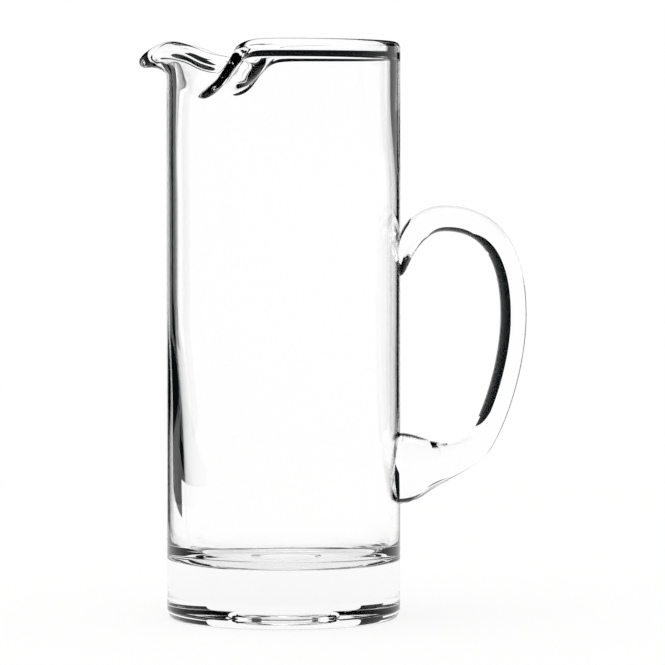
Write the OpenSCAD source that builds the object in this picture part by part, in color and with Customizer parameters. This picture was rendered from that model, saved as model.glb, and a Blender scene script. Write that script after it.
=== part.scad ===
// Clear glass cocktail pitcher, blown in one piece, with a handle of solid
// glass rod that was applied hot. Millimetres. +Z is up, the spout points to
// -X, the handle to +X, and the origin is the centre of the foot.

/* [Body] */
// Outside diameter of the body
body_d = 101.6; // [90:0.1:115]
// Height of the level rim above the table
body_h = 250; // [235:1:280]
// Thickness of the wall halfway up
wall_t = 2.8; // [2:0.1:4]

/* [Base] */
// Thickness of the heavy base, from the foot to the floor of the hollow
base_t = 24; // [14:0.5:30]
// Rounding of the outer heel
heel_r = 3.5; // [2:0.5:8]
// Rounding where the floor of the hollow turns up into the wall
floor_r = 10; // [6:0.5:14]
// Thickness of the wall just above the floor
low_wall_t = 6; // [4.5:0.1:9]
// Height above the table at which the wall has thinned
thin_z = 125; // [80:1:150]
// Diameter of the ground hollow under the foot
punt_d = 32; // [20:1:40]
// Depth of the ground hollow under the foot
punt_h = 4.4; // [1:0.1:6]

/* [Rim] */
// Thickness of the fire-polished bead along the rim
rim_t = 5.4; // [4.8:0.1:6]
// Thickness of the wall just below the bead
neck_t = 4.4; // [3.6:0.1:4.8]
// Height of the top zone in which the rim swells and the spout is drawn
zone_h = 66; // [55:1:72]

/* [Spout] */
// How far the tip of the spout stands out from the body
spout_reach = 11.8; // [6:0.1:16]
// How far the edge of the spout curls down at its tip
spout_droop = 8.5; // [5:0.1:10]
// Half width of the pouring lip, as an angle at the axis
spout_angle = 9.5; // [8:0.5:12]
// How far each pinch beside the spout is pressed in
pinch_depth = 13; // [4:0.5:14]
// How far the rim dips at each pinch
pinch_drop = 6.8; // [3:0.1:9]
// Angle from the spout to the pinch on its front side
pinch_angle = 56.5; // [54:0.5:60]
// How much farther round the other pinch lies, because both were pressed by hand
pinch_shift = 5; // [0:0.5:6]

/* [Handle] */
// How far the middle of the grip stands out from the body
grip_reach = 49; // [42:1:56]
// Thickness of the rod, seen from the side
grip_t = 11.4; // [8:0.1:15]
// Width of the rod across the hand
grip_w = 15; // [10:0.1:20]
// Height of the widest place of the grip
grip_z = 132; // [122:1:140]
// Height of the crest of the rod's centre line
crest_z = 173.7; // [168:0.1:177]
// How far the crest stands out from the body
crest_out = 19.3; // [16:0.1:24]
// How far the elbow below the grip stands out from the body
elbow_out = 33.6; // [30:0.1:37]
// Height of the elbow below the grip
elbow_z = 75.7; // [72:0.1:80]
// Height of the middle of the lower pad
pad_z = 65; // [60:0.5:68]
// Height of the lower pad on the wall
pad_h = 31; // [22:0.5:36]
// Width of the lower pad on the wall
pad_w = 26; // [18:0.5:32]
// Distance over which the pad narrows to the rod
pad_blend = 12; // [8:0.5:16]
// Height of the end of the rod, folded down on the wall
tip_z = 148.5; // [145:0.5:153]
// Width of the folded end on the wall
tip_w = 21; // [14:0.5:26]
// Length over which the folded end narrows to its tip
tip_len = 22; // [16:0.5:26]

/* [Hidden] */
$fn = 96;

overrun = 4;
body_r = body_d / 2;
bore_r = body_r - wall_t;
zone_z = body_h - zone_h;
start_z = zone_z - overrun;
edge_z = body_h - rim_t / 2;
punt_r = punt_d / 2;
// The hollow under the foot has a flat top and steep sides: a smaller share makes it squarer
punt_round_share = 0.35;
punt_steps = 16;

// The foot of the top zone runs down inside the wall, a hair thinner than it
lap_step = 0.03;
// Top zone: shares of its height where each change of shape starts or ends
lap_to_share = 0.15;
swell_from_share = 0.1;
swell_to_share = 0.8;
bead_from_share = 0.915;
bead_to_share = 0.975;
lip_from_share = 0.78;
slope_to_share = 1.15;
// Where the pinch on the front side and the other pinch start, and how deep they are
pinch_from_shares = [0.74, 0.81];
pinch_depth_shares = [1, 0.7];
// Half width of the curl at the tip of the spout, in degrees
droop_angle = 7.5;
// The crease of a pinch leans towards the spout lower down, in degrees
crease_lean = 9;
// Half widths of a pinch on its body side and on its spout side, in degrees
pinch_angles = [8, 16];
// Share of that body side width that a pinch has at its lower end
dart_share = 0.25;
// Half width of the crease itself, beside which a slow slope runs to the spout
slope_angle = 6;
// Half widths of the rim's dip at a pinch, on the same two sides, in degrees
dip_angles = [7.5, 15];
spout_skin_reach = spout_reach - rim_t / 2;

// Grid of the top zone: fine steps near the spout, coarse steps behind it
fine_step = 2;
coarse_step = 4.75;
fine_half = 99;
plain_rows = 3;
pinch_rows = 14;
zone_rows = plain_rows + pinch_rows;
rim_rows = 5;
// Columns are pulled towards each crease, by this share and over these degrees
pull_share = 0.45;
pull_angle = 12;
// Spans over which the facing of the glass is taken, so that the inner skin runs smoothly
angle_gap = 10;
height_gap_share = 0.08;

// Handle: pulls of the four curves of the centre line, as shares of each span
path_shares = [
  [[0.38, 0.19], [0.77, 0.24]],
  [[0.30, 0.09], [1.00, 0.55]],
  [[0.00, 0.63], [0.32, 1.00]],
  [[0.65, 0.00], [0.95, 0.46]]
];
path_steps = [12, 14, 14, 16];
rod_sides = 28;
seat_depth = 6;
tip_end_share = 0.98;
// Share by which the rod is broader on its outer side
egg_share = 0.12;

function bell(x, width) = exp(-x * x / (2 * width * width));
function ease(x) = let(y = min(1, max(0, x))) y * y * (3 - 2 * y);
function ramp(x, from) = max(0, (x - from) / (1 - from));
function unit(v) = v / norm(v);

// Place, lower end and depth of the pinch on the side of an angle, which is negative behind
function pinch_at(angle) = pinch_angle + (angle < 0 ? pinch_shift : 0);
function pinch_from(angle) = pinch_from_shares[angle < 0 ? 1 : 0];
function pinch_in(angle) = pinch_depth * pinch_depth_shares[angle < 0 ? 1 : 0];

// How far in a pinch is pressed: a narrow dart that deepens to the rim, with a slow slope to the spout
function pinch_bell(off, widths) = bell(off, off > 0 ? widths[0] : widths[1]);
function pinch(angle, t) =
  let(from = pinch_from(angle), v = ramp(t, from))
  let(off = abs(angle) - pinch_at(angle) + crease_lean * (1 - v))
  let(dart = ease(v), slope = ease((t - from) / (slope_to_share - from)))
  let(away = off > 0 ? 0 : 1 - bell(off, slope_angle))
  let(narrow = dart_share + (1 - dart_share) * v)
  pinch_bell(off, [pinch_angles[0] * narrow, pinch_angles[1]]) * (dart + (slope - dart) * away);

// Outer skin of the top zone at an angle from the spout and a share of height
function lap_inset(t) = lap_step * (1 - ease(t / lap_to_share));
function skin_r(angle, t) =
  let(lip = ramp(t, lip_from_share))
  body_r - lap_inset(t)
  + spout_skin_reach * bell(angle, spout_angle) * lip * lip
  - pinch_in(angle) * pinch(angle, t);
function skin_z(angle, t) =
  let(lip = ramp(t, lip_from_share))
  let(dip = pinch_drop * pinch_bell(abs(angle) - pinch_at(angle), dip_angles))
  start_z + (edge_z - dip - start_z) * t
  - spout_droop * bell(angle, droop_angle) * lip * lip;
function skin(angle, t) =
  let(r = skin_r(angle, t))
  [-r * cos(angle), -r * sin(angle), skin_z(angle, t)];
function skin_rise(angle, t) =
  skin(angle, t + height_gap_share) - skin(angle, t - height_gap_share);
function skin_turn(angle, t) =
  skin(angle + angle_gap, t) - skin(angle - angle_gap, t);
function skin_out(angle, t) = unit(cross(skin_turn(angle, t), skin_rise(angle, t)));
function glass_t(t) =
  wall_t - 2 * lap_inset(t)
  + (neck_t - wall_t) * ease((t - swell_from_share) / (swell_to_share - swell_from_share))
  + (rim_t - neck_t) * ease((t - bead_from_share) / (bead_to_share - bead_from_share));

// Point of the rim's half round, from the outer skin to the inner one
function rim_point(angle, share) =
  let(out = skin_out(angle, 1), up = unit(skin_rise(angle, 1)), half = glass_t(1) / 2)
  skin(angle, 1) - half * out
  + half * (out * cos(180 * share) + up * sin(180 * share));
function inner_point(angle, t) = skin(angle, t) - glass_t(t) * skin_out(angle, t);

// Rows lie closer where the pinches are, and columns lean with their creases
function row_share(i) =
  i < plain_rows
  ? pinch_from_shares[0] * i / plain_rows
  : pinch_from_shares[0] + (1 - pinch_from_shares[0]) * (i - plain_rows) / pinch_rows;
function column_angle(a, t) =
  let(at = pinch_at(a), off = abs(a) - at, pulled = off * (1 - pull_share * bell(off, pull_angle)))
  let(rise = abs(a) / at, fall = (fine_half - abs(a)) / (fine_half - at))
  let(lean = crease_lean * (1 - ramp(t, pinch_from(a))) * ease(min(rise, fall)))
  sign(a) * (at + pulled - lean);
function zone_rings(angles) = concat(
  [for (i = [0 : zone_rows])
    let(t = row_share(i)) [for (a = angles) skin(column_angle(a, t), t)]],
  [for (i = [1 : rim_rows - 1]) [for (a = angles) rim_point(column_angle(a, 1), i / rim_rows)]],
  [for (i = [zone_rows : -1 : 0])
    let(t = row_share(i)) [for (a = angles) inner_point(column_angle(a, t), t)]]
);

// Triangles between rings of points; a closed stack joins its last ring to its first
function ring_faces(rings, sides, closed) = [
  for (i = [0 : rings - (closed ? 1 : 2)], j = [0 : sides - 1])
    let(a = i * sides + j, b = i * sides + (j + 1) % sides)
    let(c = ((i + 1) % rings) * sides + j, d = ((i + 1) % rings) * sides + (j + 1) % sides)
    each [[a, c, d], [a, d, b]]
];

function joined(rings) = [for (ring = rings) each ring];

// Top zone with the rim, the spout and its two pinches
module top_zone() {
  angles = concat(
    [for (a = [-fine_half : fine_step : fine_half]) a],
    [for (a = [fine_half + coarse_step : coarse_step : 360 - fine_half - fine_step]) a]
  );
  turned = [for (a = angles) a > 180 ? a - 360 : a];
  rings = zone_rings(turned);
  polyhedron(joined(rings), ring_faces(len(rings), len(turned), true));
}

// Half outline of the hollow: floor, rounded corner, thinning wall, straight wall
module hollow_outline() {
  corner = [body_r - low_wall_t - floor_r, base_t + floor_r];
  top = [bore_r, thin_z];
  away = top - corner;
  lean = atan2(away[0], away[1]) - asin(floor_r / norm(away));
  touch = corner + floor_r * [cos(lean), -sin(lean)];
  polygon([
    [0, base_t],
    [corner[0], base_t],
    touch,
    top,
    [bore_r, zone_z + overrun],
    [0, zone_z + overrun]
  ]);
  translate(corner) circle(floor_r);
}

// Half outline of the hollow under the foot
module punt_outline() {
  polygon(concat(
    [for (i = [0 : punt_steps])
      let(a = 90 * i / punt_steps)
      [punt_r * pow(sin(a), punt_round_share), punt_h * pow(cos(a), punt_round_share)]],
    [[punt_r, -overrun], [0, -overrun]]
  ));
}

// Half outline of the body below the top zone
module body_outline() {
  difference() {
    union() {
      square([body_r - heel_r, zone_z]);
      translate([0, heel_r]) square([body_r, zone_z - heel_r]);
      translate([body_r - heel_r, heel_r]) circle(heel_r);
    }
    hollow_outline();
    punt_outline();
  }
}

module vessel() {
  color([0.86, 0.92, 0.92, 0.35])
  union() {
    rotate_extrude() body_outline();
    top_zone();
  }
}

// Centre line of the handle: lower pad, elbow, grip, crest, folded tip
path_stops = [
  [body_r, pad_z],
  [body_r + elbow_out, elbow_z],
  [body_r + grip_reach, grip_z],
  [body_r + crest_out, crest_z],
  [body_r, tip_z]
];
function curve(a, b, c, d, t) =
  pow(1 - t, 3) * a + 3 * pow(1 - t, 2) * t * b + 3 * (1 - t) * t * t * c + pow(t, 3) * d;
function span_point(i, t) =
  let(a = path_stops[i], d = path_stops[i + 1], s = path_shares[i])
  let(b = [a[0] + s[0][0] * (d[0] - a[0]), a[1] + s[0][1] * (d[1] - a[1])])
  let(c = [a[0] + s[1][0] * (d[0] - a[0]), a[1] + s[1][1] * (d[1] - a[1])])
  curve(a, b, c, d, t);
path = concat(
  [path_stops[0] - [seat_depth, 0]],
  [for (i = [0 : 3], k = [0 : path_steps[i] - 1]) span_point(i, k / path_steps[i])],
  [path_stops[4]]
);

// Thickness and width of the rod at a point of its centre line
function tip_narrowing(p) =
  let(v = min(tip_end_share, max(0, 1 - norm(p - path_stops[4]) / tip_len)))
  sqrt(1 - v);
function on_tip(i) = i > len(path) / 2;
function rod_t(i) =
  (grip_t + (pad_h - grip_t) * bell(norm(path[i] - path_stops[0]), pad_blend))
  * (on_tip(i) ? tip_narrowing(path[i]) : 1);
function rod_w(i) =
  let(low = bell(norm(path[i] - path_stops[0]), pad_blend))
  let(high = on_tip(i) ? bell(norm(path[i] - path_stops[4]), tip_len) : 0)
  (grip_w + (pad_w - grip_w) * low + (tip_w - grip_w) * high)
  * (on_tip(i) ? tip_narrowing(path[i]) : 1);
function along(i) = unit(path[min(len(path) - 1, i + 1)] - path[max(0, i - 1)]);
function rod_ring(i) =
  let(p = path[i], d = along(i), side = [d[1], -d[0]])
  [for (k = [0 : rod_sides - 1])
    let(a = 360 * k / rod_sides, u = cos(a) * rod_t(i) / 2)
    let(w = sin(a) * (1 + egg_share * cos(a)) * rod_w(i) / 2)
    [p[0] + u * side[0], w, p[1] + u * side[1]]];

module rod() {
  rings = [for (i = [0 : len(path) - 1]) rod_ring(i)];
  points = joined(rings);
  last = (len(path) - 1) * rod_sides;
  polyhedron(
    points,
    concat(
      ring_faces(len(path), rod_sides, false),
      [[for (k = [0 : rod_sides - 1]) k]],
      [[for (k = [rod_sides - 1 : -1 : 0]) last + k]]
    )
  );
}

module handle() {
  color([0.86, 0.92, 0.92, 0.35])
  difference() {
    rod();
    cylinder(h = body_h, r = body_r);
  }
}

vessel();
handle();
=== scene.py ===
import math

import bpy
import numpy as np
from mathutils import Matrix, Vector


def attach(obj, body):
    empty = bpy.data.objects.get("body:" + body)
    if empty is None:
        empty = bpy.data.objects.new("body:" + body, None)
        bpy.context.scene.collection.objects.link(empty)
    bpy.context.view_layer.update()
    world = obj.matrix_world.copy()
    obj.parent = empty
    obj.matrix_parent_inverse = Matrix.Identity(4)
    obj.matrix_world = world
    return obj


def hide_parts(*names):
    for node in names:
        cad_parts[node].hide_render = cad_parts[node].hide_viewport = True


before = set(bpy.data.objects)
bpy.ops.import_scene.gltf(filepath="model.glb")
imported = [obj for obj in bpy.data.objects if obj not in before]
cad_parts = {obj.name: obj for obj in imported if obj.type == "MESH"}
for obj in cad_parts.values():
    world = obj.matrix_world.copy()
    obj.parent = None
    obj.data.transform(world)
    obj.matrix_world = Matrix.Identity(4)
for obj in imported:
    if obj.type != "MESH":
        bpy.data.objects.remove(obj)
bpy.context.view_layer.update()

# Lengths in millimetres, angles in degrees, the rest shares; most names are those of the part's source
MM = 0.001
BODY_R = 50.8
BODY_H = 250.0
WALL_T = 2.8
BASE_T = 24.0
FLOOR_R = 10.0
LOW_WALL_T = 6.0
THIN_Z = 125.0
PUNT_R = 16.0
PUNT_H = 4.4
PUNT_ROUND_SHARE = 0.35
RIM_T = 5.4
NECK_T = 4.4
BEAD_FROM = 0.915
BEAD_TO = 0.975
START_Z = 180.0
EDGE_Z = BODY_H - RIM_T / 2
SPOUT_REACH = 11.8
SPOUT_DROOP = 8.5
SPOUT_ANGLE = 9.5
DROOP_ANGLE = 7.5
PINCH_DEPTH = 13.0
PINCH_DROP = 6.8
PINCH_ANGLE = 56.5
PINCH_SHIFT = 5.0
PINCH_ANGLES = (8.0, 16.0)
DIP_ANGLES = (7.5, 15.0)
CREASE_LEAN = 9.0
DART_SHARE = 0.25
SLOPE_ANGLE = 6.0
LIP_FROM = 0.78
PINCH_FROM = (0.74, 0.81)
PINCH_DEPTH_SHARES = (1.0, 0.7)
SLOPE_TO = 1.15
SWELL_FROM = 0.1
SWELL_TO = 0.8
FINE_HALF = 99.0
ANGLE_GAP = 10.0
HEIGHT_GAP = 0.08

# Heel of the foot: an upright oval, where the part's source has a plain round
HEEL_R = 2.5
HEEL_H = 4.5

# Blown by hand, so the hollow leans a little towards the handle
HOLLOW_LEAN = 0.7
HOLLOW_LEAN_LOW = 1.0
LEAN_LOW_Z = 80.0
LEAN_FADE_H = 45.0

# Steps of the vessel's mesh
FINE_STEP = 0.75
COARSE_STEP = 2.0
PUNT_RINGS = 40
PUNT_FIRST_ANGLE = 0.5
FOOT_RINGS = 10
HEEL_RINGS = 12
WALL_RINGS = 14
ZONE_LOW_RINGS = 25
ZONE_TOP_RINGS = 48
RIM_RINGS = 15
BORE_RINGS = 6
THICK_WALL_RINGS = 16
FLOOR_ROUND_RINGS = 14
FLOOR_RINGS = 8
POLE_R = 0.6
VESSEL_SHARP_ANGLE = 25.0

# Centre line of the handle: each stop is a distance out along X and a height
PAD = (50.8, 65.0)
ELBOW = (84.4, 75.7)
GRIP = (99.8, 132.0)
CREST = (70.1, 173.7)
TIP = (50.8, 148.5)
# Where the curve's handles lie between two stops, as shares of the way along X and up
PATH_PULLS = (
    ((0.38, 0.19), (0.77, 0.24)),
    ((0.30, 0.09), (1.00, 0.55)),
    ((0.00, 0.63), (0.32, 1.00)),
    ((0.65, 0.00), (0.95, 0.46)),
)
SEAT_DEPTH = 6.0
GRIP_T = 11.4
GRIP_W = 15.0
PAD_H = 31.0
PAD_W = 26.0
PAD_BLEND = 12.0
TIP_W = 21.0
TIP_LEN = 22.0
EGG_SHARE = 0.12
JOINT_GAP = 0.03

# Steps of the handle's mesh
PATH_STEPS = 64
ROD_RINGS = 200
ROD_SIDES = 65
WALL_SIDES = 360
MERGE_DISTANCE = 0.001
HANDLE_SHARP_ANGLE = 40.0

# Counts that part the rays: one through two walls made four crossings, one thrown back at least one bounce
TWO_WALLS = 3.5
THROWN_BACK = 0.5
CARD_BLACK = "#0b0e10"


def linear(hex_colour):
    """sRGB hex to the linear colour that a socket takes."""
    parts = [int(hex_colour[i:i + 2], 16) / 255 for i in (1, 3, 5)]
    return tuple(c / 12.92 if c < 0.04045 else ((c + 0.055) / 1.055) ** 2.4 for c in parts) + (1.0,)


def put(tree, kind, settings=None, sockets=None):
    """Adds a node, sets its properties, and sets or links its inputs by name or number."""
    node = tree.nodes.new(kind)
    for name, value in (settings or {}).items():
        setattr(node, name, value)
    for key, value in (sockets or {}).items():
        if isinstance(value, bpy.types.NodeSocket):
            tree.links.new(value, node.inputs[key])
        else:
            node.inputs[key].default_value = value
    return node


def glass(name, tint, tint_depth, ripple, ripple_depth):
    """Clear glass: its ripple bends what is seen through it, its tint shows only in thick places.

    The dark specular tint weakens what faces turned to the eye mirror, so that the edges stay black.
    """
    material = bpy.data.materials.new(name)
    material.use_nodes = True
    tree = material.node_tree
    tree.nodes.clear()
    place = put(tree, "ShaderNodeTexCoord").outputs["Object"]
    waves = put(tree, "ShaderNodeTexNoise", None, {
        "Vector": place, "Scale": 1 / (ripple * MM), "Detail": 1.0, "Roughness": 0.4,
    })
    relief = put(tree, "ShaderNodeBump", None, {
        "Strength": 1.0, "Distance": ripple_depth * MM, "Height": waves.outputs["Fac"],
    })
    surface = put(tree, "ShaderNodeBsdfPrincipled", None, {
        "Base Color": linear("#ffffff"), "IOR": 1.52, "Transmission Weight": 1.0,
        "Roughness": 0.0, "Specular Tint": linear("#404040"), "Normal": relief.outputs["Normal"],
    })
    depth = put(tree, "ShaderNodeVolumeAbsorption", None, {
        "Color": linear(tint), "Density": tint_depth,
    })
    put(tree, "ShaderNodeOutputMaterial", None, {
        "Surface": surface.outputs["BSDF"], "Volume": depth.outputs["Volume"],
    })
    return material


# Soda-lime glass blown and turned in a mould: even, with a long faint ripple
BLOWN_GLASS = glass("blown_soda_lime_glass", "#f3f1f4", 5.0, 40.0, 0.01)
# The same glass pulled into a rod by hand: a shorter, stronger ripple
PULLED_GLASS = glass("pulled_soda_lime_glass_rod", "#f3f1f4", 5.0, 22.0, 0.015)


def bell(x, width):
    return np.exp(-x * x / (2 * width * width))


def ease(x):
    y = np.clip(x, 0, 1)
    return y * y * (3 - 2 * y)


def ramp(x, start):
    return np.maximum(0, (x - start) / (1 - start))


def pinch_at(angle):
    """Angle from the spout to the pinch on the side of an angle, which is negative behind."""
    return PINCH_ANGLE + np.where(angle < 0, PINCH_SHIFT, 0.0)


def pinch_from(angle):
    """Lower end of the pinch on that side, as a share of the zone's height."""
    return np.where(angle < 0, PINCH_FROM[1], PINCH_FROM[0])


def pinch_in(angle):
    """How deep the pinch on that side is at the rim."""
    return PINCH_DEPTH * np.where(angle < 0, PINCH_DEPTH_SHARES[1], PINCH_DEPTH_SHARES[0])


def pinch_bell(off, widths):
    return bell(off, np.where(off > 0, widths[0], widths[1]))


def pinch(angle, t):
    """How far in a pinch is pressed: a dart that deepens to the rim, with a slow slope to the spout."""
    start = pinch_from(angle)
    v = ramp(t, start)
    off = np.abs(angle) - pinch_at(angle) + CREASE_LEAN * (1 - v)
    dart = ease(v)
    slope = ease((t - start) / (SLOPE_TO - start))
    away = np.where(off > 0, 0, 1 - bell(off, SLOPE_ANGLE))
    narrow = DART_SHARE + (1 - DART_SHARE) * v
    return pinch_bell(off, (PINCH_ANGLES[0] * narrow, PINCH_ANGLES[1])) * (dart + (slope - dart) * away)


def skin(angle, t):
    """Outer skin of the top zone, at angles from the spout and shares of the zone's height."""
    lip = ramp(t, LIP_FROM)
    r = (BODY_R + (SPOUT_REACH - RIM_T / 2) * bell(angle, SPOUT_ANGLE) * lip ** 2
         - pinch_in(angle) * pinch(angle, t))
    dip = PINCH_DROP * pinch_bell(np.abs(angle) - pinch_at(angle), DIP_ANGLES)
    z = START_Z + (EDGE_Z - dip - START_Z) * t - SPOUT_DROOP * bell(angle, DROOP_ANGLE) * lip ** 2
    a = np.radians(angle)
    return np.stack([-r * np.cos(a), -r * np.sin(a), z], axis=-1)


def unit(v):
    return v / np.linalg.norm(v, axis=-1, keepdims=True)


def skin_rise(angle, t):
    return skin(angle, t + HEIGHT_GAP) - skin(angle, t - HEIGHT_GAP)


def skin_out(angle, t):
    """Which way the glass faces, taken over a few millimetres, so that the inner skin runs smoothly."""
    turn = skin(angle + ANGLE_GAP, t) - skin(angle - ANGLE_GAP, t)
    return unit(np.cross(turn, skin_rise(angle, t)))


def glass_t(t):
    swell = (NECK_T - WALL_T) * ease((t - SWELL_FROM) / (SWELL_TO - SWELL_FROM))
    return WALL_T + swell + (RIM_T - NECK_T) * ease((t - BEAD_FROM) / (BEAD_TO - BEAD_FROM))


def column_angle(a, t):
    """Columns of the mesh lean with the creases of the pinches."""
    side, at = np.abs(a), pinch_at(a)
    share = np.minimum(side / at, (FINE_HALF - side) / (FINE_HALF - at))
    return a - np.sign(a) * CREASE_LEAN * (1 - ramp(t, pinch_from(a))) * ease(share)


def hollow_lean(z):
    low = HOLLOW_LEAN_LOW * ease((THIN_Z - z) / (THIN_Z - LEAN_LOW_Z))
    return (HOLLOW_LEAN + low) * (1 - ease((z - START_Z) / LEAN_FADE_H))


def vessel_rings():
    """Rings of points from the middle of the foot, up the outside, over the rim, down to the floor."""
    fine = np.arange(-FINE_HALF, FINE_HALF + FINE_STEP / 2, FINE_STEP)
    coarse = np.arange(FINE_HALF + COARSE_STEP, 360 - FINE_HALF - COARSE_STEP / 2, COARSE_STEP)
    angles = np.concatenate([fine, coarse])
    angles = np.where(angles > 180, angles - 360, angles)
    foot_angles = np.radians(column_angle(angles, 0.0))

    def ring(r, z, lean=0.0):
        return np.stack([-r * np.cos(foot_angles) + lean, -r * np.sin(foot_angles),
                         np.full_like(foot_angles, z)], axis=-1)

    profile = [(PUNT_R * math.sin(a) ** PUNT_ROUND_SHARE, PUNT_H * max(math.cos(a), 0) ** PUNT_ROUND_SHARE)
               for a in np.radians(np.linspace(PUNT_FIRST_ANGLE, 90, PUNT_RINGS))]
    for r in np.linspace(PUNT_R, BODY_R - HEEL_R, FOOT_RINGS)[1:]:
        profile.append((r, 0.0))
    for a in np.radians(np.linspace(0, 90, HEEL_RINGS))[1:]:
        profile.append((BODY_R - HEEL_R + HEEL_R * math.sin(a), HEEL_H - HEEL_H * math.cos(a)))
    for z in np.linspace(HEEL_H, START_Z, WALL_RINGS)[1:-1]:
        profile.append((BODY_R, z))
    rings = [ring(r, z) for r, z in profile]

    shares = np.concatenate([np.linspace(0, PINCH_FROM[0], ZONE_LOW_RINGS)[:-1],
                             np.linspace(PINCH_FROM[0], 1, ZONE_TOP_RINGS)])
    for t in shares:
        rings.append(skin(column_angle(angles, t), t))
    out = skin_out(angles, 1.0)
    up = unit(skin_rise(angles, 1.0))
    half = glass_t(1.0) / 2
    for a in np.radians(np.linspace(0, 180, RIM_RINGS))[1:-1]:
        rings.append(skin(angles, 1.0) - half * out + half * (out * math.cos(a) + up * math.sin(a)))
    for t in shares[::-1]:
        inner = skin(column_angle(angles, t), t) - glass_t(t) * skin_out(column_angle(angles, t), t)
        inner[:, 0] += hollow_lean(inner[:, 2])
        rings.append(inner)

    bore_r = BODY_R - WALL_T
    corner = np.array([BODY_R - LOW_WALL_T - FLOOR_R, BASE_T + FLOOR_R])
    away = np.array([bore_r, THIN_Z]) - corner
    lean = math.atan2(away[0], away[1]) - math.asin(FLOOR_R / math.hypot(*away))
    touch = corner + FLOOR_R * np.array([math.cos(lean), -math.sin(lean)])
    inside = [(bore_r, z) for z in np.linspace(START_Z, THIN_Z, BORE_RINGS)[1:]]
    for share in np.linspace(0, 1, THICK_WALL_RINGS)[1:]:
        inside.append((bore_r + (touch[0] - bore_r) * share, THIN_Z + (touch[1] - THIN_Z) * share))
    for a in np.linspace(lean, math.pi / 2, FLOOR_ROUND_RINGS)[1:]:
        inside.append((corner[0] + FLOOR_R * math.cos(a), corner[1] - FLOOR_R * math.sin(a)))
    for r in np.linspace(corner[0], POLE_R, FLOOR_RINGS)[1:]:
        inside.append((r, BASE_T))
    rings += [ring(r, z, hollow_lean(z)) for r, z in inside]
    return rings


def skinned(name, rings, first_pole, last_pole, material):
    """A closed mesh from rings of points, with a point at each end."""
    count = len(rings[0])
    points = np.concatenate([[first_pole], *rings, [last_pole]]) * MM
    last = len(points) - 1
    faces = []
    for j in range(count):
        k = (j + 1) % count
        faces.append((0, 1 + k, 1 + j))
        faces.append((last, last - count + j, last - count + k))
    for i in range(len(rings) - 1):
        row, above = 1 + i * count, 1 + (i + 1) * count
        for j in range(count):
            k = (j + 1) % count
            faces.append((row + j, row + k, above + k, above + j))
    mesh = bpy.data.meshes.new(name)
    mesh.from_pydata(points.tolist(), [], faces)
    mesh.materials.append(material)
    mesh.shade_smooth()
    mesh.set_sharp_from_angle(angle=math.radians(VESSEL_SHARP_ANGLE))
    piece = bpy.data.objects.new(name, mesh)
    bpy.context.scene.collection.objects.link(piece)
    return piece


floor_middle = (hollow_lean(BASE_T), 0.0, BASE_T)
vessel = skinned("vessel_of_clear_glass", vessel_rings(), (0.0, 0.0, PUNT_H), floor_middle, BLOWN_GLASS)


def handle_path():
    """Centre line of the rod as a curve, from inside the wall at the pad to the folded tip."""
    data = bpy.data.curves.new("handle_path", "CURVE")
    data.dimensions = "3D"
    data.resolution_u = PATH_STEPS
    stops = [PAD, ELBOW, GRIP, CREST, TIP]
    pulls = []
    for (ax, az), (bx, bz), shares in zip(stops, stops[1:], PATH_PULLS):
        pulls.append([(ax + sx * (bx - ax), az + sz * (bz - az)) for sx, sz in shares])
    seat = (PAD[0] - SEAT_DEPTH, PAD[1])
    places = [seat] + stops
    before = [seat, (PAD[0] - SEAT_DEPTH / 3, PAD[1])] + [p[1] for p in pulls]
    after = [(PAD[0] - 2 * SEAT_DEPTH / 3, PAD[1])] + [p[0] for p in pulls] + [TIP]
    spline = data.splines.new("BEZIER")
    spline.bezier_points.add(len(places) - 1)
    for point, here, left, right in zip(spline.bezier_points, places, before, after):
        point.handle_left_type = point.handle_right_type = "FREE"
        point.co = (here[0] * MM, 0.0, here[1] * MM)
        point.handle_left = (left[0] * MM, 0.0, left[1] * MM)
        point.handle_right = (right[0] * MM, 0.0, right[1] * MM)
    path = bpy.data.objects.new("handle_path", data)
    bpy.context.scene.collection.objects.link(path)
    return path


def swell_group():
    """Node group: how strongly a place swells, from its distance to a stop of the path."""
    tree = bpy.data.node_groups.new("swell_near_stop", "GeometryNodeTree")
    sockets = (("Place", "NodeSocketVector"), ("Stop", "NodeSocketVector"), ("Spread", "NodeSocketFloat"))
    for name, kind in sockets:
        tree.interface.new_socket(name, in_out="INPUT", socket_type=kind)
    tree.interface.new_socket("Swell", in_out="OUTPUT", socket_type="NodeSocketFloat")
    given = put(tree, "NodeGroupInput").outputs
    far = put(tree, "ShaderNodeVectorMath", {"operation": "DISTANCE"}, {0: given["Place"], 1: given["Stop"]})
    ratio = put(tree, "ShaderNodeMath", {"operation": "DIVIDE"}, {
        0: far.outputs["Value"], 1: given["Spread"],
    }).outputs[0]
    square = put(tree, "ShaderNodeMath", {"operation": "MULTIPLY"}, {0: ratio, 1: ratio})
    fall = put(tree, "ShaderNodeMath", {"operation": "MULTIPLY"}, {0: square.outputs[0], 1: -0.5})
    swell = put(tree, "ShaderNodeMath", {"operation": "EXPONENT"}, {0: fall.outputs[0]})
    put(tree, "NodeGroupOutput", None, {"Swell": swell.outputs[0]})
    return tree


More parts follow.
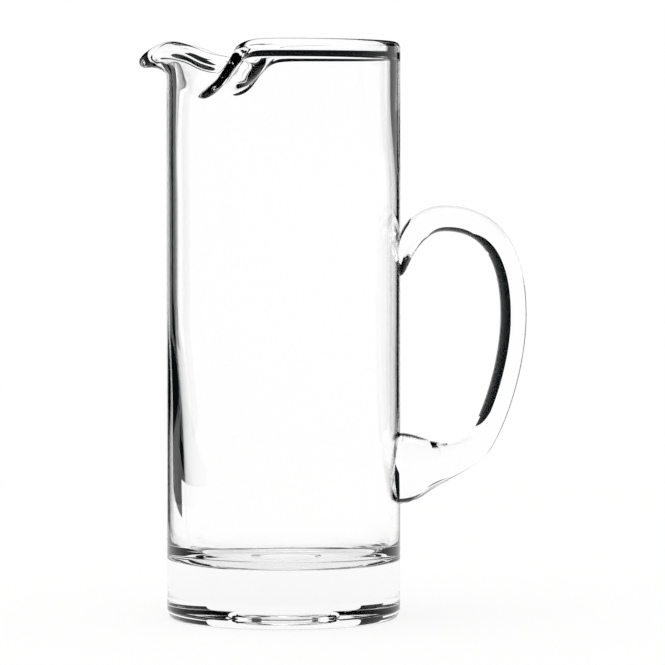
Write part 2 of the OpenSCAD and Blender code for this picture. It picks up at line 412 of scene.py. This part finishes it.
def handle_tree():
    """Geometry Nodes: an oval rod along the path, swollen at the pad and the tip, cut to the wall."""
    tree = bpy.data.node_groups.new("handle_of_pulled_rod", "GeometryNodeTree")
    tree.is_modifier = True
    tree.interface.new_socket("Path", in_out="INPUT", socket_type="NodeSocketGeometry")
    floats = ("Grip thickness", "Grip width", "Pad height", "Pad width", "Pad blend", "Tip width",
              "Tip length", "Outer broadening", "Wall radius", "Wall height")
    for name in floats:
        tree.interface.new_socket(name, in_out="INPUT", socket_type="NodeSocketFloat")
    for name in ("Pad stop", "Tip stop"):
        tree.interface.new_socket(name, in_out="INPUT", socket_type="NodeSocketVector")
    for name in ("Rings", "Sides", "Wall sides"):
        tree.interface.new_socket(name, in_out="INPUT", socket_type="NodeSocketInt")
    tree.interface.new_socket("Glass", in_out="INPUT", socket_type="NodeSocketMaterial")
    tree.interface.new_socket("Handle", in_out="OUTPUT", socket_type="NodeSocketGeometry")
    given = put(tree, "NodeGroupInput").outputs

    # A flat sheet one unit square: its x runs along the rod and its y round it
    sheet = put(tree, "GeometryNodeMeshGrid", None, {
        "Size X": 1.0, "Size Y": 1.0, "Vertices X": given["Rings"], "Vertices Y": given["Sides"],
    })
    where = put(tree, "ShaderNodeSeparateXYZ", None, {0: put(tree, "GeometryNodeInputPosition").outputs[0]})
    along = put(tree, "ShaderNodeMath", {"operation": "ADD"}, {0: where.outputs["X"], 1: 0.5}).outputs[0]
    turn = put(tree, "ShaderNodeMath", {"operation": "MULTIPLY"}, {
        0: where.outputs["Y"], 1: -2 * math.pi,
    }).outputs[0]
    cos = put(tree, "ShaderNodeMath", {"operation": "COSINE"}, {0: turn}).outputs[0]
    sin = put(tree, "ShaderNodeMath", {"operation": "SINE"}, {0: turn}).outputs[0]
    spot = put(tree, "GeometryNodeSampleCurve", {"mode": "FACTOR", "use_all_curves": True}, {
        "Curves": given["Path"], "Factor": along,
    })
    place = spot.outputs["Position"]
    outward = put(tree, "ShaderNodeVectorMath", {"operation": "CROSS_PRODUCT"}, {
        0: (0.0, 1.0, 0.0), 1: spot.outputs["Tangent"],
    }).outputs[0]

    # The rod's own half: the first half of the path has the pad, the second the tip
    upper = put(tree, "ShaderNodeMath", {"operation": "GREATER_THAN"}, {0: along, 1: 0.5}).outputs[0]
    swell = swell_group()
    at_pad = put(tree, "GeometryNodeGroup", {"node_tree": swell}, {
        "Place": place, "Stop": given["Pad stop"], "Spread": given["Pad blend"],
    }).outputs[0]
    near_tip = put(tree, "GeometryNodeGroup", {"node_tree": swell}, {
        "Place": place, "Stop": given["Tip stop"], "Spread": given["Tip length"],
    }).outputs[0]
    at_tip = put(tree, "ShaderNodeMath", {"operation": "MULTIPLY"}, {0: near_tip, 1: upper}).outputs[0]
    tip_far = put(tree, "ShaderNodeVectorMath", {"operation": "DISTANCE"}, {0: place, 1: given["Tip stop"]})
    tip_share = put(tree, "ShaderNodeMath", {"operation": "DIVIDE", "use_clamp": True}, {
        0: tip_far.outputs["Value"], 1: given["Tip length"],
    }).outputs[0]
    lower = put(tree, "ShaderNodeMath", {"operation": "SUBTRACT"}, {0: 1.0, 1: upper}).outputs[0]
    tip_or_full = put(tree, "ShaderNodeMath", {"operation": "MAXIMUM"}, {0: tip_share, 1: lower}).outputs[0]
    narrow = put(tree, "ShaderNodeMath", {"operation": "SQRT"}, {0: tip_or_full}).outputs[0]
    # The first ring closes to a point, inside the wall
    past_first = put(tree, "ShaderNodeMath", {"operation": "MULTIPLY", "use_clamp": True}, {
        0: along, 1: given["Rings"],
    }).outputs[0]
    scale = put(tree, "ShaderNodeMath", {"operation": "MULTIPLY"}, {0: narrow, 1: past_first}).outputs[0]

    thick_gain = put(tree, "ShaderNodeMath", {"operation": "SUBTRACT"}, {
        0: given["Pad height"], 1: given["Grip thickness"],
    }).outputs[0]
    thick = put(tree, "ShaderNodeMath", {"operation": "MULTIPLY_ADD"}, {
        0: at_pad, 1: thick_gain, 2: given["Grip thickness"],
    }).outputs[0]
    pad_gain = put(tree, "ShaderNodeMath", {"operation": "SUBTRACT"}, {
        0: given["Pad width"], 1: given["Grip width"],
    }).outputs[0]
    tip_gain = put(tree, "ShaderNodeMath", {"operation": "SUBTRACT"}, {
        0: given["Tip width"], 1: given["Grip width"],
    }).outputs[0]
    wide_low = put(tree, "ShaderNodeMath", {"operation": "MULTIPLY_ADD"}, {
        0: at_pad, 1: pad_gain, 2: given["Grip width"],
    }).outputs[0]
    wide = put(tree, "ShaderNodeMath", {"operation": "MULTIPLY_ADD"}, {
        0: at_tip, 1: tip_gain, 2: wide_low,
    }).outputs[0]

    egg = put(tree, "ShaderNodeMath", {"operation": "MULTIPLY_ADD"}, {
        0: cos, 1: given["Outer broadening"], 2: 1.0,
    }).outputs[0]
    out_unit = put(tree, "ShaderNodeMath", {"operation": "MULTIPLY"}, {0: cos, 1: thick}).outputs[0]
    half_scale = put(tree, "ShaderNodeMath", {"operation": "MULTIPLY"}, {0: scale, 1: 0.5}).outputs[0]
    out_by = put(tree, "ShaderNodeMath", {"operation": "MULTIPLY"}, {0: out_unit, 1: half_scale}).outputs[0]
    side_unit = put(tree, "ShaderNodeMath", {"operation": "MULTIPLY"}, {0: sin, 1: wide}).outputs[0]
    side_egg = put(tree, "ShaderNodeMath", {"operation": "MULTIPLY"}, {0: side_unit, 1: egg}).outputs[0]
    side_by = put(tree, "ShaderNodeMath", {"operation": "MULTIPLY"}, {0: side_egg, 1: half_scale}).outputs[0]
    out_step = put(tree, "ShaderNodeVectorMath", {"operation": "SCALE"}, {
        0: outward, "Scale": out_by,
    }).outputs[0]
    side_step = put(tree, "ShaderNodeCombineXYZ", None, {"Y": side_by}).outputs[0]
    on_rod = put(tree, "ShaderNodeVectorMath", {"operation": "ADD"}, {0: place, 1: out_step}).outputs[0]
    skin_place = put(tree, "ShaderNodeVectorMath", {"operation": "ADD"}, {0: on_rod, 1: side_step}).outputs[0]
    rod = put(tree, "GeometryNodeSetPosition", None, {
        "Geometry": sheet.outputs["Mesh"], "Position": skin_place,
    })
    closed = put(tree, "GeometryNodeMergeByDistance", None, {
        "Geometry": rod.outputs["Geometry"], "Distance": MERGE_DISTANCE * MM,
    })

    # The wall that the hot rod was pressed on
    wall = put(tree, "GeometryNodeMeshCylinder", None, {
        "Vertices": given["Wall sides"], "Radius": given["Wall radius"], "Depth": given["Wall height"],
    })
    pressed = put(tree, "GeometryNodeMeshBoolean", {"operation": "DIFFERENCE", "solver": "EXACT"}, {
        "Mesh 1": closed.outputs["Geometry"], "Mesh 2": wall.outputs["Mesh"], "Self Intersection": True,
    })
    smooth = put(tree, "GeometryNodeSetShadeSmooth", None, {"Geometry": pressed.outputs["Mesh"]})
    real = put(tree, "GeometryNodeRealizeInstances", None, {"Geometry": smooth.outputs["Geometry"]})
    dressed = put(tree, "GeometryNodeSetMaterial", None, {
        "Geometry": real.outputs["Geometry"], "Material": given["Glass"],
    })
    put(tree, "NodeGroupOutput", None, {"Handle": dressed.outputs["Geometry"]})
    return tree


def handle_piece():
    path = handle_path()
    tree = handle_tree()
    maker = path.modifiers.new("handle_rod", "NODES")
    maker.node_group = tree
    sizes = {
        "Grip thickness": GRIP_T * MM, "Grip width": GRIP_W * MM, "Pad height": PAD_H * MM,
        "Pad width": PAD_W * MM, "Pad blend": PAD_BLEND * MM, "Tip width": TIP_W * MM,
        "Tip length": TIP_LEN * MM, "Outer broadening": EGG_SHARE,
        "Wall radius": (BODY_R + JOINT_GAP) * MM, "Wall height": 2 * BODY_H * MM,
        "Pad stop": (PAD[0] * MM, 0.0, PAD[1] * MM), "Tip stop": (TIP[0] * MM, 0.0, TIP[1] * MM),
        "Rings": ROD_RINGS, "Sides": ROD_SIDES, "Wall sides": WALL_SIDES, "Glass": PULLED_GLASS,
    }
    for item in tree.interface.items_tree:
        if item.in_out == "INPUT" and item.name in sizes:
            maker[item.identifier] = sizes[item.name]
    seen = path.evaluated_get(bpy.context.evaluated_depsgraph_get())
    mesh = bpy.data.meshes.new_from_object(seen)
    mesh.name = "handle_of_pulled_glass"
    mesh.set_sharp_from_angle(angle=math.radians(HANDLE_SHARP_ANGLE))
    piece = bpy.data.objects.new("handle_of_pulled_glass", mesh)
    bpy.context.scene.collection.objects.link(piece)
    bpy.data.objects.remove(path)
    return piece


handle = handle_piece()

for piece, node, slot in ((vessel, "vessel", "vessel_glass"), (handle, "handle", "handle_glass")):
    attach(piece, "root")
    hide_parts(node)


def table_top():
    """Pale table: white to the eye and in the glass, with the object's shadow kept on it."""
    half, drop, white_share = 700 * MM, 0.1 * MM, 0.8
    material = bpy.data.materials.new("pale_table")
    material.use_nodes = True
    tree = material.node_tree
    tree.nodes.clear()
    path = put(tree, "ShaderNodeLightPath").outputs
    camera_or_glossy = put(tree, "ShaderNodeMath", {"operation": "MAXIMUM"}, {
        0: path["Is Camera Ray"], 1: path["Is Glossy Ray"],
    }).outputs[0]
    looked_at = put(tree, "ShaderNodeMath", {"operation": "MAXIMUM"}, {
        0: camera_or_glossy, 1: path["Is Transmission Ray"],
    }).outputs[0]
    share = put(tree, "ShaderNodeMath", {"operation": "MULTIPLY"}, {0: looked_at, 1: white_share}).outputs[0]
    card = put(tree, "ShaderNodeBsdfDiffuse", None, {"Color": linear("#f4f4f2")})
    white = put(tree, "ShaderNodeEmission", None, {"Color": linear("#ffffff"), "Strength": 1.0})
    lit = put(tree, "ShaderNodeMixShader", None, {
        "Fac": share, 1: card.outputs["BSDF"], 2: white.outputs["Emission"],
    })
    put(tree, "ShaderNodeOutputMaterial", None, {"Surface": lit.outputs["Shader"]})
    corners = [(-half, -half, 0), (half, -half, 0), (half, half, 0), (-half, half, 0)]
    mesh = bpy.data.meshes.new("table_top")
    mesh.from_pydata(corners, [], [range(len(corners))])
    mesh.materials.append(material)
    table = bpy.data.objects.new("table_top", mesh)
    table.location.z = -drop
    bpy.context.scene.collection.objects.link(table)


table_top()


def dark_card(name, corners, material, mirrored):
    """One upright card of the studio, which only the glass sees."""
    mesh = bpy.data.meshes.new(name)
    mesh.from_pydata([tuple(c * MM for c in corner) for corner in corners], [], [range(len(corners))])
    mesh.materials.append(material)
    card = bpy.data.objects.new(name, mesh)
    card.visible_camera = card.visible_diffuse = card.visible_shadow = False
    card.visible_glossy = mirrored
    bpy.context.scene.collection.objects.link(card)


def card_material(name, one_wall, turned):
    """Black: one_wall clears it for rays through two walls, turned for rays that were never thrown back."""
    material = bpy.data.materials.new(name)
    material.use_nodes = True
    tree = material.node_tree
    tree.nodes.clear()
    path = put(tree, "ShaderNodeLightPath").outputs
    shown = put(tree, "ShaderNodeEmission", None, {"Color": linear(CARD_BLACK), "Strength": 1.0}).outputs[0]
    clear = put(tree, "ShaderNodeBsdfTransparent").outputs[0]
    if one_wall:
        both = put(tree, "ShaderNodeMath", {"operation": "GREATER_THAN"}, {
            0: path["Transmission Depth"], 1: TWO_WALLS,
        }).outputs[0]
        shown = put(tree, "ShaderNodeMixShader", None, {"Fac": both, 1: shown, 2: clear}).outputs[0]
    if turned:
        straight = put(tree, "ShaderNodeMath", {"operation": "LESS_THAN"}, {
            0: path["Glossy Depth"], 1: THROWN_BACK,
        }).outputs[0]
        shown = put(tree, "ShaderNodeMixShader", None, {"Fac": straight, 1: shown, 2: clear}).outputs[0]
    put(tree, "ShaderNodeOutputMaterial", None, {"Surface": shown})
    return material


def dark_surround():
    """Black cards just outside the picture: they draw the dark edges of the glass."""
    side = card_material("black_side_card", True, False)
    turned = card_material("black_card_for_turned_rays", True, True)
    top = card_material("black_top_card", False, False)

    # Place along X of the side cards, then the place along Y and the height of their corners
    spout_x, handle_x, grip_x = -130, 165, 118
    card_top, low_z = 420, 30
    near_y, mid_y, far_y, end_y = 100, 230, 420, 600
    spout_side = ((180, 60), (180, card_top), (62, card_top), (62, 140), (24, 95), (15, 73), (-36, 49),
                  (-36, 42), (62, 42), (62, 60))
    spout_side_low = ((62, 24), (180, 24), (180, 60), (62, 60))
    handle_side = ((near_y, low_z), (mid_y, low_z), (mid_y, card_top), (near_y, card_top))
    handle_side_far = ((mid_y, low_z), (far_y, low_z), (far_y, card_top), (mid_y, card_top))
    handle_side_end = ((far_y, low_z), (end_y, low_z), (end_y, card_top), (far_y, card_top))
    beside_grip = ((5, 70), (45, 70), (45, 175), (5, 175))
    for name, x, outline, material, mirrored in (
        ("black_card_spout_side", spout_x, spout_side, turned, True),
        ("black_card_spout_side_low", spout_x, spout_side_low, side, True),
        ("black_card_handle_side", handle_x, handle_side, side, False),
        ("black_card_handle_side_far", handle_x, handle_side_far, side, True),
        ("black_card_handle_side_end", handle_x, handle_side_end, turned, True),
        ("black_card_beside_grip", grip_x, beside_grip, side, False),
    ):
        dark_card(name, [(x, y, z) for y, z in outline], material, mirrored)
    behind = ((-700, low_z), (-380, low_z), (-380, card_top), (-700, card_top))
    dark_card("black_card_far_behind", [(x, end_y, z) for x, z in behind], side, False)

    # Cards above the rim, on the four sides: each runs between two corners of a square
    high, far = 600, 285
    for name, (ax, ay), (bx, by), low in (
        ("black_top_behind", (-far, far), (far, far), 290),
        ("black_top_front", (-far, -far), (far, -far), 270),
        ("black_top_spout_side", (-far, -far), (-far, far), 290),
        ("black_top_handle_side", (far, -far), (far, far), 290),
    ):
        dark_card(name, ((ax, ay, low), (bx, by, low), (bx, by, high), (ax, ay, high)), top, True)


dark_surround()


def studio_world():
    """White all round; what is seen through both walls also meets dark screens far behind, at the sides."""
    screen_from, screen_full, screen_to = math.radians(24), math.radians(25), math.radians(45)
    world = bpy.data.worlds.new("studio")
    bpy.context.scene.world = world
    world.use_nodes = True
    tree = world.node_tree
    tree.nodes.clear()
    path = put(tree, "ShaderNodeLightPath").outputs
    aim = put(tree, "ShaderNodeTexCoord").outputs["Generated"]
    way = put(tree, "ShaderNodeSeparateXYZ", None, {0: aim}).outputs
    heading = put(tree, "ShaderNodeMath", {"operation": "ARCTAN2"}, {0: way["X"], 1: way["Y"]}).outputs[0]
    aside = put(tree, "ShaderNodeMath", {"operation": "ABSOLUTE"}, {0: heading}).outputs[0]
    beside = put(tree, "ShaderNodeMapRange", {"interpolation_type": "SMOOTHSTEP"}, {
        "Value": aside, "From Min": screen_from, "From Max": screen_full,
    }).outputs["Result"]
    short_of_side = put(tree, "ShaderNodeMath", {"operation": "LESS_THAN"}, {
        0: aside, 1: screen_to,
    }).outputs[0]
    screen = put(tree, "ShaderNodeMath", {"operation": "MULTIPLY"}, {0: beside, 1: short_of_side}).outputs[0]
    both = put(tree, "ShaderNodeMath", {"operation": "GREATER_THAN"}, {
        0: path["Transmission Depth"], 1: TWO_WALLS,
    }).outputs[0]
    bent = put(tree, "ShaderNodeMath", {"operation": "MULTIPLY"}, {
        0: both, 1: path["Is Transmission Ray"],
    }).outputs[0]
    far_screen = put(tree, "ShaderNodeMath", {"operation": "MULTIPLY"}, {0: screen, 1: bent}).outputs[0]
    white = put(tree, "ShaderNodeBackground", None, {"Color": linear("#ffffff"), "Strength": 1.0})
    black = put(tree, "ShaderNodeBackground", None, {"Color": linear(CARD_BLACK), "Strength": 1.0})
    seen = put(tree, "ShaderNodeMixShader", None, {
        "Fac": far_screen, 1: white.outputs["Background"], 2: black.outputs["Background"],
    })
    put(tree, "ShaderNodeOutputWorld", None, {"Surface": seen.outputs["Shader"]})


studio_world()


def soft_lamp(name, place, aim, size, watts):
    data = bpy.data.lights.new(name, "AREA")
    data.shape = "DISK"
    data.size = size
    data.energy = watts
    lamp = bpy.data.objects.new(name, data)
    lamp.location = place
    lamp.rotation_euler = (Vector(aim) - Vector(place)).to_track_quat("-Z", "Y").to_euler()
    bpy.context.scene.collection.objects.link(lamp)


# A large soft lamp above and to the left, for the faint shadow: metres and watts
soft_lamp("softbox_above", place=(-0.25, -0.2, 1.5), aim=(0.0, 0.0, 0.1), size=1.0, watts=4.0)


def photographer():
    """Long lens a little above the middle of the pitcher, turned slightly to the handle's side."""
    distance, azimuth, elevation = 1.622, math.radians(4.0), math.radians(2.42)
    frame_w = 288.9 * MM
    target = Vector((21.3 * MM, 0.0, 124.0 * MM))
    back = Vector((math.sin(azimuth) * math.cos(elevation), -math.cos(azimuth) * math.cos(elevation),
                   math.sin(elevation)))
    data = bpy.data.cameras.new("photographer")
    data.sensor_width = 36.0
    data.lens = data.sensor_width * distance / frame_w
    camera = bpy.data.objects.new("photographer", data)
    camera.location = target + back * distance
    camera.rotation_mode = "QUATERNION"
    camera.rotation_quaternion = (-back).to_track_quat("-Z", "Y")
    bpy.context.scene.collection.objects.link(camera)
    bpy.context.scene.camera = camera


photographer()
bpy.context.scene.view_settings.view_transform = "Standard"
